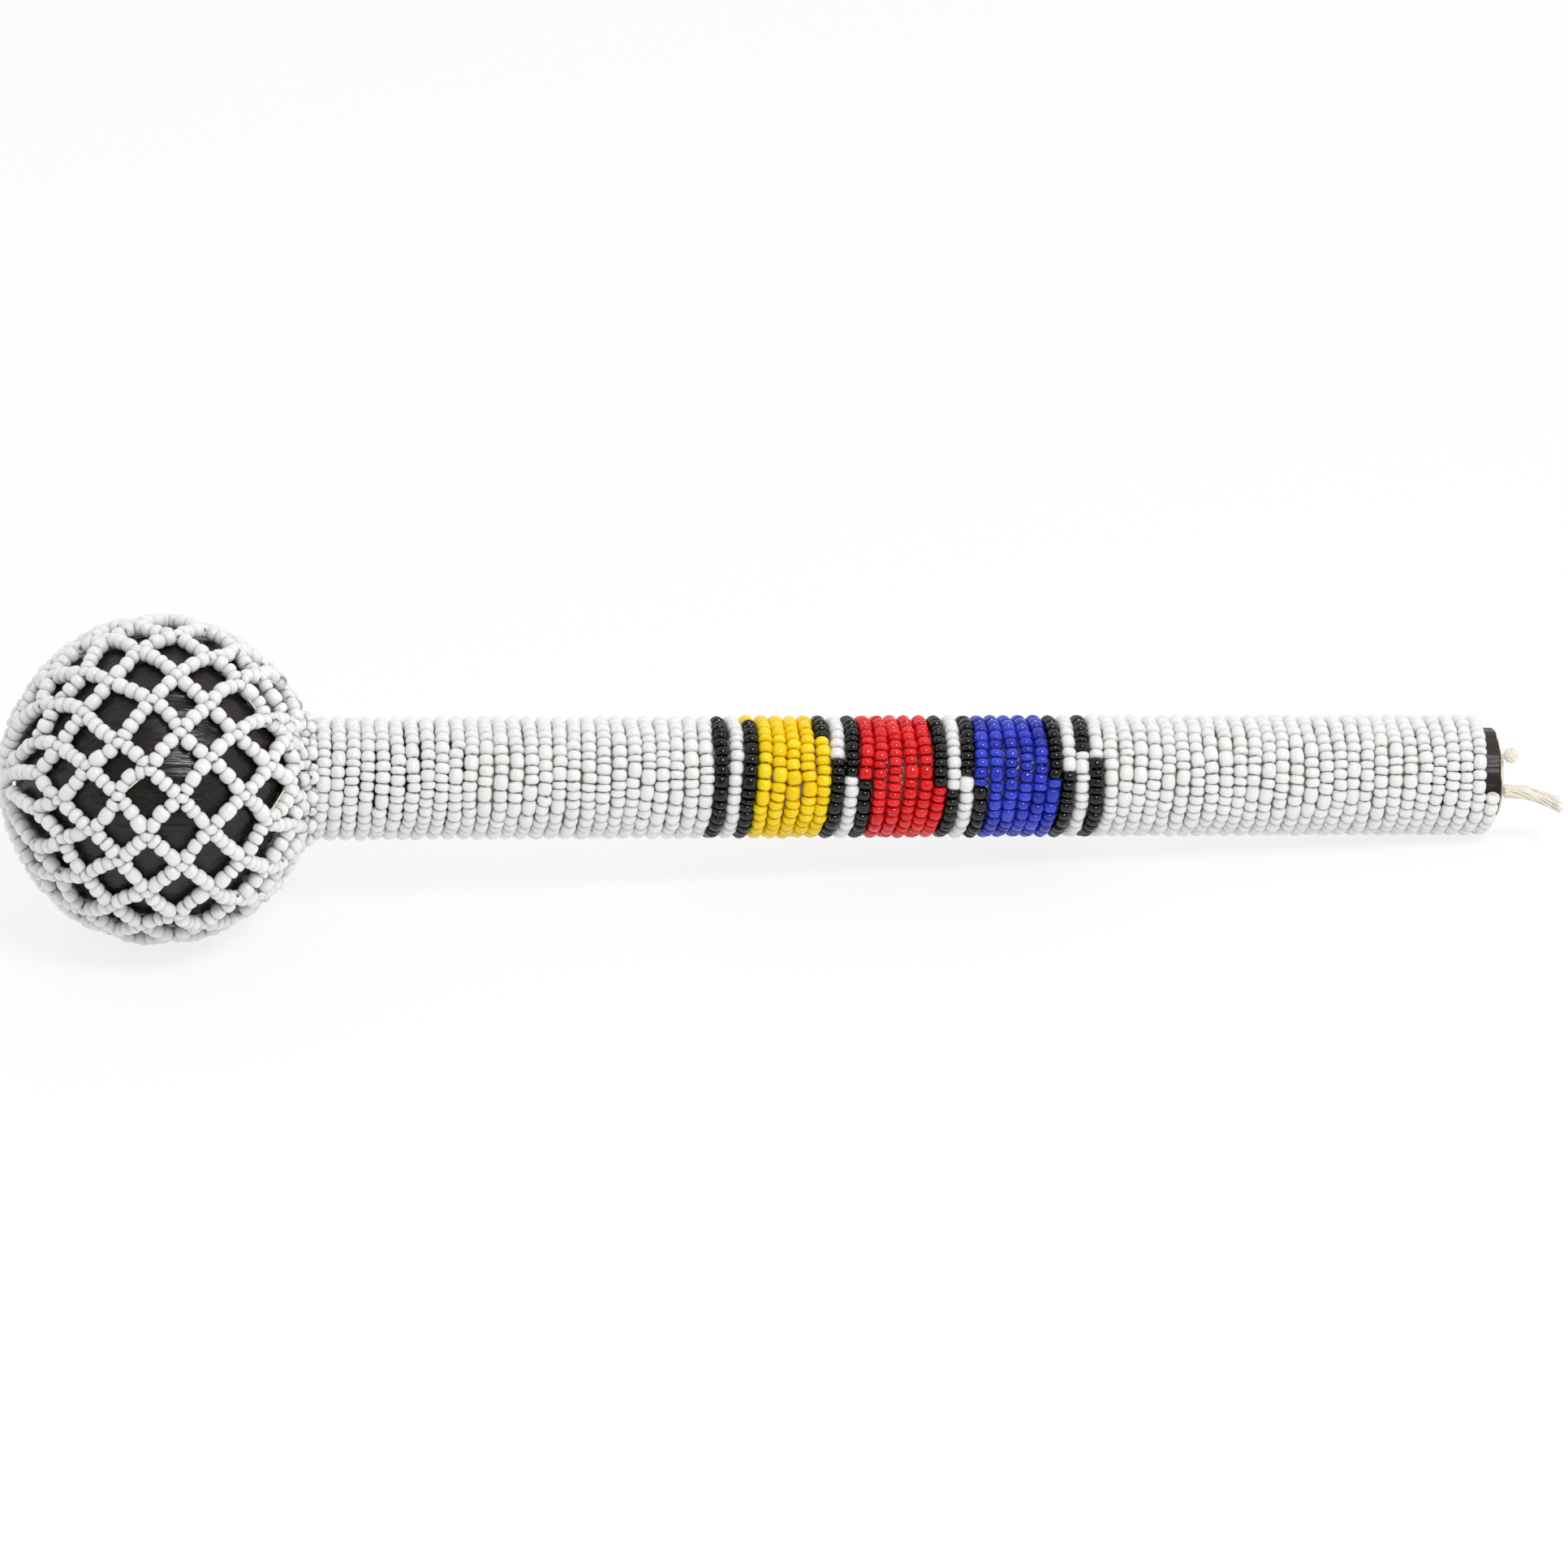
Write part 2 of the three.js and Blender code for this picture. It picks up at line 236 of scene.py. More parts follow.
def colour(code):
    """A colour written as six hex digits, as the linear colour a shader takes."""
    parts = [int(code[i : i + 2], 16) / 255 for i in (0, 2, 4)]
    linear = [p / 12.92 if p <= 0.04045 else ((p + 0.055) / 1.055) ** 2.4 for p in parts]
    return (*linear, 1.0)


# %% [markdown]
# ## Bead glass
# Opaque seed beads are coloured glass with a fire-polished skin: bright small highlights,
# an even body colour, and a slightly different shade from one bead to the next. The tint
# is a random number that each bead carries. A fine ripple in the surface keeps the
# highlights from looking like machined plastic. Light sinks into white glass a little and
# comes out beside where it went in, which keeps the slits between white beads pale, so
# each colour has its own depth.

# %% Bead finishes
def bead_glass(name, deep, body, pale, gloss, mirror, depth):
    finish = Finish(name)
    tint = finish.read("tint", "Fac")
    shade = finish.blend(finish.spread(tint, 0.0, 0.6), colour(deep), colour(body))
    shade = finish.blend(finish.spread(tint, 0.55, 1.0), shade, colour(pale))
    ripple = finish.noise(900.0)
    finish.set(
        Base_Color=shade,
        Roughness=finish.spread(tint + 0.4 * ripple, 0.0, 1.4, gloss, gloss + 0.08),
        Normal=finish.bump(ripple, 0.00012, 0.07),
        Specular_IOR_Level=mirror,
        Subsurface_Weight=depth,
        Subsurface_Radius=(1.0, 1.0, 1.0),
        Subsurface_Scale=0.0024,
    )
    return finish.material


bead_finish = {
    "white": bead_glass("white bead glass", "eeefef", "f4f3f0", "f6f4f1", 0.14, 0.45, 1.0),
    "black": bead_glass("black bead glass", "010101", "020202", "040405", 0.07, 0.5, 0.0),
    "yellow": bead_glass("yellow bead glass", "fac800", "fdd106", "fed916", 0.14, 0.45, 0.6),
    "red": bead_glass("red bead glass", "cb0a10", "dc161b", "e62428", 0.09, 0.5, 0.3),
    "blue": bead_glass("blue bead glass", "1c2799", "2836ba", "3846c8", 0.09, 0.5, 0.25),
}
print("bead finishes:", ", ".join(bead_finish))

# %% [markdown]
# ## One bead, many times
# A seed bead is a short piece of glass cane with a hole, tumbled hot so that its
# shoulders round over. Its outline is a squarish arch, closed by the straight wall of the
# hole. The outline is spun about the thread. Every bead of a run is made at once: arrays
# hold its middle, the way its thread runs, which way is outward, and its own length and
# width, because no two beads of such a string are alike.

# %% Bead shape and stringing
BEAD = 3.0 * MM
BEAD_SIDES = 14
SHOULDERS = np.radians(np.linspace(-79, 79, 9))
SQUARE_ALONG, SQUARE_ACROSS = 0.74, 0.58  # 1 is a round arch, and less is squarer
HOLE, HOLE_REACH = 0.3, 0.86  # the hole's radius and half length, as shares of the bead's
bead_u = np.sign(np.sin(SHOULDERS)) * np.abs(np.sin(SHOULDERS)) ** SQUARE_ALONG
bead_v = np.cos(SHOULDERS) ** SQUARE_ACROSS
bead_u = np.append(bead_u, [HOLE_REACH, -HOLE_REACH])
bead_v = np.append(bead_v, [HOLE, HOLE])


def unit(vectors):
    return vectors / np.linalg.norm(vectors, axis=-1, keepdims=True)


def bead_run(middles, thread, outward, lengths, widths):
    """Points and faces of beads, in the axes of their middles."""
    thread = unit(thread)
    outward = unit(outward - thread * np.sum(outward * thread, axis=1, keepdims=True))
    across = np.cross(thread, outward)
    turn = np.arange(BEAD_SIDES) * 2 * math.pi / BEAD_SIDES
    spoke = (
        outward[:, None, None] * np.cos(turn)[None, None, :, None]
        + across[:, None, None] * np.sin(turn)[None, None, :, None]
    )
    half = (lengths / 2)[:, None, None, None]
    radius = (widths / 2)[:, None, None, None]
    points = (
        middles[:, None, None]
        + thread[:, None, None] * bead_u[None, :, None, None] * half
        + spoke * bead_v[None, :, None, None] * radius
    )
    one = grid_quads(len(bead_u), BEAD_SIDES, close_rows=True)
    size = len(bead_u) * BEAD_SIDES
    quads = (np.arange(len(middles))[:, None, None] * size + one[None]).reshape(-1, 4)
    return points.reshape(-1, 3), quads


LONG_BEADS, LONG_CUT = 0.11, 1.6  # how many beads were cut long, and by how much


def cut_lengths(dice, number, total):
    """Random lengths that fill a string. One bead in nine was cut long."""
    share = np.clip(dice.normal(1, 0.15, number), 0.66, 1.4)
    share = np.where(dice.random(number) < LONG_BEADS, LONG_CUT, share)
    return share / share.sum() * total


def bead_tints(dice, count):
    """One random shade for each bead, repeated for all its points."""
    return np.repeat(dice.random(count), len(bead_u) * BEAD_SIDES)


# %% [markdown]
# ## The wound string
# The string starts at the neck and goes round the dowel 81 times. Seen from the near
# side it climbs over the stick from below and works toward the butt. Each colour has
# about five turns, with a black, a white and a black turn on both sides. The turns were
# never counted off exactly, so each run starts and ends part way round. Within a turn the
# beads differ in length, lean a little, and ride slightly high or low, and the whole
# winding waves by about a quarter of a millimetre.

# %% Wind the string
TURNS = 81
SHORT_OF = 0.06  # how far the string stops short of its last full turn
LEAD_IN = 0.45  # turns of the string inside the net's collar
NEAR_SIDE = math.radians(60)
CREST_ROOM = 0.16 * MM  # what the frame's faceted sleeves lack of a true round

string_start = (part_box("strand_white_neck")[0].x - head_middle[0]) / along[0]
string_end_x = (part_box("strand_white_butt")[1].x - head_middle[0]) / along[0]
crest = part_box("strand_red")[1].y + CREST_ROOM
# A box of a sloping ring reaches past the ring by its radius times the slope
overhang = crest * abs(along[2])
string_from = string_start + overhang + BEAD / 2
string_to = string_end_x - overhang - BEAD / 2
string_radius = crest - BEAD / 2
string_pitch = (string_to - string_from) / (TURNS - SHORT_OF)

# The turns in each run of colour, counted to a few beads
RUNS = [("white", "strand_white_neck", 26.3)]
BANDS = {
    "yellow": (0.97, 1.0, 0.93, 4.92),
    "red": (0.93, 0.95, 0.99, 4.98),
    "blue": (0.99, 1.04, 0.97, 5.02),
    None: (1.02, 1.06, 0.98, 0),
}
for band, (hue, (before, between, after, middle)) in enumerate(BANDS.items(), start=1):
    RUNS.append(("black", f"strand_black_{2 * band - 1}", before))
    RUNS.append(("white", f"strand_white_{band}", between))
    RUNS.append(("black", f"strand_black_{2 * band}", after))
    if hue:
        RUNS.append((hue, f"strand_{hue}", middle))
RUNS.append(("white", "strand_white_butt", TURNS - SHORT_OF - sum(r[2] for r in RUNS)))
RUNS[0] = (*RUNS[0][:2], RUNS[0][2] + LEAD_IN)

A_LITTLE = 0.005  # turns on each side of a bead, for the way its thread runs
# How long a bead of each colour is along the string, on average
LENGTH = {"white": 2.2, "black": 1.85, "yellow": 2.12, "red": 1.98, "blue": 2.08}


def string_path(turns, lift=0.0):
    """The middle of the string after so many turns, in the stick's axes."""
    turn = NEAR_SIDE - 2 * math.pi * turns
    wave = 0.16 * np.sin(2 * turn + 0.9 * turns) + 0.12 * np.sin(3 * turn - 0.7 * turns + 2)
    wave = wave * np.clip(turns, 0, 1) * np.clip(TURNS - turns, 0, 1)
    x = string_from + string_pitch * turns + wave * MM
    return round_stick(x, string_radius + lift, turn)


def wind_run(hue, node, first, count, dice):
    """Beads of one colour, from one turn of the string to another."""
    arc = 2 * math.pi * string_radius * count
    number = max(1, round(arc / (LENGTH[hue] * MM)))
    lengths = cut_lengths(dice, number, arc)
    places = first + (np.cumsum(lengths) - lengths / 2) / (2 * math.pi * string_radius)
    middles = string_path(places, dice.normal(0, 0.05, number) * MM)
    middles[:, 0] += dice.normal(0, 0.09, number) * MM
    thread = string_path(places + A_LITTLE) - string_path(places - A_LITTLE)
    thread = unit(thread) + dice.normal(0, 0.07, (number, 3))
    outward = middles * [0, 1, 1]
    widths = BEAD * np.clip(dice.normal(1.045, 0.03, number), 0.95, 1.1)
    snug = lengths * dice.uniform(1.02, 1.08, number)
    points, quads = bead_run(middles, thread, outward, snug, widths)
    tint = bead_tints(dice, number)
    piece = make_piece(f"beads_{node}", on_frame(points), quads, "rattle",
                       f"{hue}_bead", [node], tint=tint)
    piece.data.materials.append(bead_finish[hue])
    return number


reached, strung = -LEAD_IN, 0
for order, (hue, node, count) in enumerate(RUNS):
    strung += wind_run(hue, node, reached, count, np.random.default_rng(100 + order))
    reached += count
print("turns", round(reached, 2), "beads on the stick", strung)

# %% [markdown]
# ## Tubes along a path
# The thread inside the beads, the knot and the frayed tail are all thin tubes. A tube is
# a ring of points carried along a path. To keep it from twisting, each ring starts from
# the last one's direction, made square to the path again.

# %% Tube helper
def tube(path, radius, sides=6):
    """Points and faces of a tube with closed ends along a path."""
    path = np.asarray(path, float)
    forward = unit(np.gradient(path, axis=0))
    radius = np.broadcast_to(radius, len(path))
    guide = np.cross(forward[0], [0.31, 0.52, 0.79])
    rings = []
    for place, ahead, size in zip(path, forward, radius):
        guide = unit(guide - ahead * (guide @ ahead))
        across = np.cross(ahead, guide)
        turn = np.arange(sides)[:, None] * 2 * math.pi / sides
        rings.append(place + size * (guide * np.cos(turn) + across * np.sin(turn)))
    first = np.repeat(path[:1], sides, axis=0)
    last = np.repeat(path[-1:], sides, axis=0)
    rings = [first, *rings, last]
    return np.concatenate(rings), grid_quads(len(rings), sides)


def join(parts):
    """Several shapes as one."""
    points, quads, start = [], [], 0
    for some_points, some_quads in parts:
        points.append(some_points)
        quads.append(some_quads + start)
        start += len(some_points)
    return np.concatenate(points), np.concatenate(quads)


# %% [markdown]
# ## Cotton
# The rattle is strung on cream cotton thread. Plied cotton has no shine. Its colour goes
# from cream to a warmer yellow where the dressing on the thread has aged, and its surface
# is broken up by fine fibres, which a strong fine bump stands for.

# %% Cotton finish and the thread inside the winding
def cotton_thread():
    finish = Finish("cream cotton")
    clouds = finish.noise(260.0, detail=4.0)
    fibres = finish.noise(4200.0, detail=3.0)
    shade = finish.blend(finish.spread(clouds, 0.3, 0.75), colour("f8f5ea"), colour("eee4cb"))
    shade = finish.blend(finish.spread(fibres, 0.55, 0.8, 0.0, 0.35), shade, colour("d2c094"))
    finish.set(
        Base_Color=shade,
        Roughness=finish.spread(fibres, 0.2, 0.8, 0.78, 0.95),
        Normal=finish.bump(fibres, 0.0003, 0.7),
        Sheen_Weight=0.3,
        Sheen_Roughness=0.5,
    )
    return finish.material


cotton = cotton_thread()
STEPS_PER_TURN = 32
THREAD_RADIUS = 0.28 * MM
turns = np.linspace(-LEAD_IN, reached, int(reached * STEPS_PER_TURN))
points, quads = tube(string_path(turns), THREAD_RADIUS, sides=5)
thread = make_piece("string_thread", on_frame(points), quads, "rattle", "cotton")
thread.data.materials.append(cotton)
print("thread length in the winding, m:", round(2 * math.pi * string_radius * reached, 2))

# %% [markdown]
# ## Stretched tape
# The ball and both ends of the stick are wrapped in soft black tape. Pulled tight, it
# wrinkles into long streaks that run with the stick. Its colour is painted lighter,
# grey-brown, on the ridges of the streaks as a painted sheen, and darker in the hollows as
# painted shade. The streaks need a place that changes fast round the stick and slowly
# along it. The mesh holds such a place in its `streak` attribute.

# %% Tape finish
def stretched_tape():
    finish = Finish("stretched black tape")
    place = finish.read("streak", "Vector")
    long_streaks = finish.noise(170.0, place, detail=5.0)
    hair_streaks = finish.noise(900.0, place, detail=3.0)
    patches = finish.noise(55.0, detail=3.0)
    # Painted sheen and painted shade: lighter grey-brown on the ridges of the bump's streaks,
    # darker in their hollows
    ridge_sheen_and_shade = finish.spread(long_streaks * 0.7 + hair_streaks * 0.3, 0.36, 0.66)
    shade = finish.blend(ridge_sheen_and_shade, colour("050303"), colour("171110"))
    shade = finish.blend(finish.spread(patches, 0.45, 0.75, 0.0, 0.5), shade, colour("2e2420"))
    finish.set(
        Base_Color=shade,
        Roughness=finish.spread(hair_streaks + 0.5 * patches, 0.45, 1.1, 0.2, 0.42),
        Normal=finish.bump(long_streaks * 0.65 + hair_streaks * 0.35, 0.0013, 0.75),
        Specular_IOR_Level=0.45,
    )
    return finish.material


tape = stretched_tape()


STREAK_SQUEEZE = 0.09


def streak_places(points):
    """Where each point is round the stick, with the way along it squeezed."""
    return points * [STREAK_SQUEEZE, 1.0, 1.0]


# %% [markdown]
# ## The taped head
# The skin is a slightly flattened ball, open at the neck where the stick comes out. Real
# wrinkles cast small shadows and bend the edge of a highlight, which a bump alone can't
# do, so the larger ones are pushed into the mesh: thin ridges that start near the neck
# and run toward the pole, each with its own height and drift.

# %% Head skin
def ball_point(polar, turn, lift=0.0):
    """A place on the net's ball. Polar angles start at the pole far from the stick."""
    across_here = net_across + lift
    along_here = net_along + lift
    return round_stick(-along_here * np.cos(polar), across_here * np.sin(polar), turn)


SKIN_DEPTH = -BEAD - 0.08 * MM
SKIN_ROWS, SKIN_COLUMNS = 150, 300
SKIN_MOUTH = 10.3 * MM
WRINKLES = 70
WRINKLE_TOP, WRINKLE_FOOT = 0.3 * MM, 0.22 * MM
dice = np.random.default_rng(7)
neck_polar = math.pi - math.asin(SKIN_MOUTH / net_across)
polar = np.linspace(0.002, neck_polar, SKIN_ROWS)[:, None]
turn = (-np.arange(SKIN_COLUMNS) * 2 * math.pi / SKIN_COLUMNS)[None, :]
wrinkle = np.zeros((SKIN_ROWS, SKIN_COLUMNS))
for _ in range(WRINKLES):
    where, drift = dice.uniform(0, 2 * math.pi), dice.normal(0, 0.12)
    wide, high = dice.uniform(0.014, 0.045), dice.uniform(0.05, 0.22) * MM
    start, stop = sorted(dice.uniform(0.1, 2.9, 2))
    apart = np.angle(np.exp(1j * (turn - where - drift * np.sin(2 * polar))))
    fade = np.clip((polar - start) * 4, 0, 1) * np.clip((stop - polar) * 4, 0, 1)
    wrinkle += high * fade * np.exp(-((apart * np.sin(polar) / wide) ** 2))
wrinkle = np.minimum(wrinkle, WRINKLE_TOP) - WRINKLE_FOOT
points = ball_point(polar, turn, SKIN_DEPTH + wrinkle).reshape(-1, 3)
quads = grid_quads(SKIN_ROWS, SKIN_COLUMNS)
head_tape = make_piece("taped_head", on_frame(points), quads, "rattle", "tape",
                       ["head_tape"], streak=streak_places(points))
head_tape.data.materials.append(tape)
print("skin across, mm:", round(2 * (net_across + SKIN_DEPTH) / MM, 1))

# %% [markdown]
# ## Tape on the stick
# Under the first and last turns the dowel is taped too. The sleeve at the butt shows past
# the beads, so its edge is uneven and slightly rolled, and it stops just short of the
# dowel's end.

# %% Tape sleeves
SLEEVE_SIDES = 160
FRAYED = 1.5 * MM  # how far in from the edge it is uneven


def tape_sleeve(name, node, ragged):
    low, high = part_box(node)
    radius = (high.y - low.y) / 2 - 0.12 * MM
    slack = radius * abs(along[2])
    start = (low.x - head_middle[0]) / along[0] + slack
    stop = (high.x - head_middle[0]) / along[0] - slack
    inner = radius - 0.42 * MM
    profile = [
        [start, inner],
        [start, radius - 0.1 * MM],
        *[[x, radius] for x in np.linspace(start + 0.2 * MM, stop - 0.3 * MM, 60)],
        [stop - 0.08 * MM, radius - 0.04 * MM],
        [stop, radius - 0.2 * MM],
        [stop, inner],
    ]
    points, quads = turned(profile, SLEEVE_SIDES)
    turn = np.arctan2(points[:, 1], points[:, 2])
    crease = np.sin(7 * turn + points[:, 0] / MM * 0.2) + np.sin(17 * turn + 1)
    points[:, 1:] *= (1 + 0.004 * crease)[:, None]
    at_edge = np.clip((points[:, 0] - stop + FRAYED) / FRAYED, 0, 1)
    edge = np.sin(3 * turn + 1) * 0.5 + np.sin(8 * turn) * 0.3 + np.sin(19 * turn) * 0.2
    points[:, 0] += at_edge * ragged * (edge - 0.6)
    piece = make_piece(name, on_frame(points), quads, "rattle", "tape", [node],
                       streak=streak_places(points))
    piece.data.materials.append(tape)
    return stop - start


print("neck sleeve, m:", round(tape_sleeve("neck_sleeve", "neck_tape", 0.0), 4))
print("butt sleeve, m:", round(tape_sleeve("butt_sleeve", "butt_tape", 0.25 * MM), 4))

# %% [markdown]
# ## The dowel
# A pale straight stick with a sawn end. The only places where it shows are thin slits
# between the turns and the rim at the butt, but its end grain is seen from behind. Wood
# is drawn from its growth rings: distance from a point beside the dowel's middle, made
# uneven by noise, gives the rings on the sawn end and long lines on the sides.

# %% Dowel and its wood
def pale_wood():
    finish = Finish("pale dowel wood")
    place = finish.read("grain", "Vector")
    rings = finish.node("TexWave",
                        {"wave_type": "RINGS", "rings_direction": "X"},
                        {"Vector": place, "Scale": 130.0, "Distortion": 3.0, "Detail": 3.0,
                         "Detail Scale": 1.5})
    fibre = finish.noise(1400.0, place, detail=3.0)
    shade = finish.blend(rings * 0.6, colour("f6f3ea"), colour("e9dfc8"))
    shade = finish.blend(finish.spread(fibre, 0.5, 0.8, 0.0, 0.5), shade, colour("dccaa6"))
    finish.set(
        Base_Color=shade,
        Roughness=finish.spread(fibre, 0.3, 0.7, 0.55, 0.75),
        Normal=finish.bump(rings * 0.4 + fibre * 0.6, 0.0002, 0.5),
    )
    return finish.material


DOWEL_RADIUS = 9.5 * MM
ROUND = 0.35 * MM  # the sanded edge of the sawn end
DOWEL_SIDES = 96
RING_CENTRE = np.array([0, -3.1, -2.2]) * MM  # where the growth rings have their middle
GRAIN_SQUEEZE = 0.06

low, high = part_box("handle_dowel")
stop = stick_length
start = (low.x - head_middle[0]) / along[0] + DOWEL_RADIUS * abs(along[2])
corner = [[stop - ROUND + ROUND * math.sin(a), DOWEL_RADIUS - ROUND + ROUND * math.cos(a)]
          for a in np.linspace(0, math.pi / 2, 5)]
profile = [[start, 1e-6], [start, DOWEL_RADIUS - ROUND], [start + ROUND, DOWEL_RADIUS]]
profile += [[x, DOWEL_RADIUS] for x in np.linspace(start + 5 * MM, stop - 5 * MM, 40)]
profile += corner
profile += [[stop, r] for r in DOWEL_RADIUS * np.array([0.9, 0.7, 0.45, 0.2, 1e-4])]
points, quads = turned(profile, DOWEL_SIDES)
grain = (points - RING_CENTRE) * [GRAIN_SQUEEZE, 1, 1]
dowel = make_piece("dowel", on_frame(points), quads, "rattle", "dowel_wood",
                   ["handle_dowel"], grain=grain)
dowel.data.materials.append(pale_wood())
print("dowel length, m:", round(stop - start, 4))

# %% [markdown]
# ## The bead net
# The net is strung round by round. Every crossing is one bead that two threads share, and
# about three beads lie between crossings, so the net falls in diamonds, fifteen around.
# At the far pole the first crossings are gathered by longer strings of beads that crowd
# together, and at the neck a closed ring of beads draws the net in against the stick. It
# is a slack net on a hard ball: crossings slip a little, strings bow sideways, and where
# they crowd they ride over one another.

# %% Net layout
DIAMONDS = 15
COLUMNS = 2 * DIAMONDS
FIRST_ROW, LAST_ROW, RESTING_ROW = 2, 12, 7
ROW_STEP = math.radians(12.0)
NET_SLIP = math.radians(4.0)  # how far the whole net is turned round the stick
SLACK_FROM = 10  # past this row the crossings slip more, up to the neck
rest_polar = math.pi / 2 + math.asin(abs(along[2]))
net_dice = np.random.default_rng(21)


def crossing_angles(row, column):
    """Polar angle and turn of a crossing. Column 0 is close to the underside."""
    polar = rest_polar + (row - RESTING_ROW) * ROW_STEP
    turn = math.pi + column * math.pi / DIAMONDS - NET_SLIP
    return np.array([polar, turn])


crossings = {}
for row in range(FIRST_ROW, LAST_ROW + 1):
    for column in range(row % 2, COLUMNS, 2):
        slip = net_dice.normal(0, 1, 2) * np.radians([1.3, 1.5])
        loose = 1.0 + 0.8 * max(0, row - SLACK_FROM)
        slip[1] /= max(0.35, math.sin(crossing_angles(row, column)[0]))
        crossings[row, column] = crossing_angles(row, column) + slip * loose
print("crossings:", len(crossings))

# %% Strings between crossings
CROSSING_ROOM = 1.12 * MM
NET_BEAD = 2.4  # the mean length of a bead in the net, in mm
NET_LIFT = -BEAD / 2
net_beads = {"upper": [], "lower": []}


def add_bead(part, middle, thread, length, width):
    net_beads[part].append((middle, thread, length, width))


def string_between(part, start, stop, bow, ends, lift=(0.0, 0.0)):
    """Beads along a bowed line on the ball, leaving room at its two ends."""
    share = np.linspace(0, 1, 40)
    step = stop - start
    middle = (start + stop) / 2
    squeeze = math.sin(middle[0])
    sideways = np.array([-step[1] * squeeze, step[0] / squeeze])
    sideways /= np.hypot(sideways[0], sideways[1] * squeeze)
    line = start + share[:, None] * step
    line = line + (bow / net_across) * np.sin(math.pi * share)[:, None] * sideways
    raised = NET_LIFT + lift[0] + (lift[1] - lift[0]) * share
    path = ball_point(line[:, 0], line[:, 1], raised)
    gone = np.append(0, np.cumsum(np.linalg.norm(np.diff(path, axis=0), axis=1)))
    free = gone[-1] - sum(ends)
    number = max(1, round(free / (NET_BEAD * MM)))
    lengths = cut_lengths(net_dice, number, free)
    centres = ends[0] + np.cumsum(lengths) - lengths / 2

    def at(distance):
        return np.array([np.interp(distance, gone, path[:, i]) for i in range(3)]).T

    threads = at(centres + 0.3 * MM) - at(centres - 0.3 * MM)
    threads = unit(threads) + net_dice.normal(0, 0.08, (number, 3))
    for place, thread, length in zip(at(centres), threads, lengths):
        wide = BEAD * np.clip(net_dice.normal(1.07, 0.05), 0.94, 1.16)
        place = place + unit(place) * net_dice.normal(0.0, 0.07) * MM
        add_bead(part, place, thread, length * net_dice.uniform(1.0, 1.1), wide)


def half_of(row):
    return "upper" if row < RESTING_ROW else "lower"


for (row, column), here in crossings.items():
    place = ball_point(here[0], here[1], NET_LIFT)
    ahead = ball_point(here[0], here[1] + 0.01, NET_LIFT) - place
    ahead = unit(ahead) + net_dice.normal(0, 0.22, 3)
    add_bead(half_of(row), place, ahead, 2.1 * MM, BEAD)
    if row == LAST_ROW:
        continue
    for way in (-1, 1):
        there = crossings[row + 1, (column + way) % COLUMNS].copy()
        there[1] += 2 * math.pi * round((here[1] - there[1]) / (2 * math.pi))
        slack = 0.7 + 0.12 * max(0, row - 8)
        bow = net_dice.normal(0, slack) * MM
        crowd = 0.5 * MM if row >= SLACK_FROM and net_dice.random() < 0.4 else 0.0
        ends = (CROSSING_ROOM, CROSSING_ROOM)
        string_between(half_of(row), here, there, bow, ends, (0.0, crowd))

# %% Gather the net at the pole and at the neck
SHORT_OF_POLE, NEAR_POLE = math.radians(13.5), math.radians(6.0)
for index in range(DIAMONDS):
    here = crossings[FIRST_ROW, 2 * index]
    pole_polar = SHORT_OF_POLE if index % 2 == 1 else NEAR_POLE
    there = np.array([pole_polar, here[1] + net_dice.normal(0, 0.09)])
    raised = net_dice.uniform(0.1, 0.7) * MM
    bow = net_dice.normal(0, 0.45) * MM
    string_between("upper", here, there, bow, (CROSSING_ROOM, 0.3 * MM), (0.0, raised))

POLE_RING, POLE_RING_POLAR = 5, math.radians(3.6)
for index in range(POLE_RING):
    turn = index * 2 * math.pi / POLE_RING
    place = ball_point(POLE_RING_POLAR, turn, NET_LIFT + 0.3 * MM)
    ahead = ball_point(POLE_RING_POLAR, turn + 0.1, NET_LIFT + 0.3 * MM) - place
    add_bead("upper", place, ahead, 2.0 * MM, BEAD * 0.9)

COLLAR, FILLING = 31, 30
FILLING_BACK = 2.3 * MM  # how far the filling ring is before the first turn
collar_polar = rest_polar + (LAST_ROW + 0.3 - RESTING_ROW) * ROW_STEP
for index in range(COLLAR):
    turn = index * 2 * math.pi / COLLAR + net_dice.normal(0, 0.02)
    lift = NET_LIFT + net_dice.normal(0.05, 0.1) * MM
    tilt = collar_polar + net_dice.normal(0, 0.012)
    place = ball_point(tilt, turn, lift)
    ahead = unit(ball_point(tilt, turn + 0.05, lift) - place)
    ahead = ahead + net_dice.normal(0, 0.15, 3)
    add_bead("lower", place, ahead, net_dice.uniform(1.8, 2.2) * MM, BEAD * 0.95)

# Short ends of string reach from the collar onto the first turn, two beads on each
for index in range(DIAMONDS):
    turn = (index + 0.5) * 2 * math.pi / DIAMONDS + net_dice.normal(0, 0.06)
    swing = net_dice.normal(0, 0.05)
    start = round_stick(string_from - 4.6 * MM, string_radius + 2.0 * MM, turn)
    stop = round_stick(string_from - 2.0 * MM, string_radius + 1.2 * MM, turn + swing)
    for part in (0.1, 0.85):
        place = start + part * (stop - start)
        ahead = unit(stop - start) + net_dice.normal(0, 0.25, 3)
        add_bead("lower", place, ahead, net_dice.uniform(2.0, 2.5) * MM, BEAD)

# and a crowded ring fills the corner between the collar and that turn
for index in range(FILLING):
    turn = index * 2 * math.pi / FILLING + net_dice.normal(0, 0.03)
    place = round_stick(string_from - FILLING_BACK, string_radius, turn)
    ahead = round_stick(string_from - FILLING_BACK, string_radius, turn + 0.05) - place
    ahead = unit(ahead) + net_dice.normal(0, 0.2, 3)
    add_bead("lower", place, ahead, 2.2 * MM, BEAD * net_dice.uniform(0.9, 1.02))

# %% [markdown]
# The net stands for one CAD piece but is made in two halves, because each half of so many
# beads is a large mesh already. Beads that would dip below the table, where the head
# lies, are pushed up until they rest on it, as the real ones are.

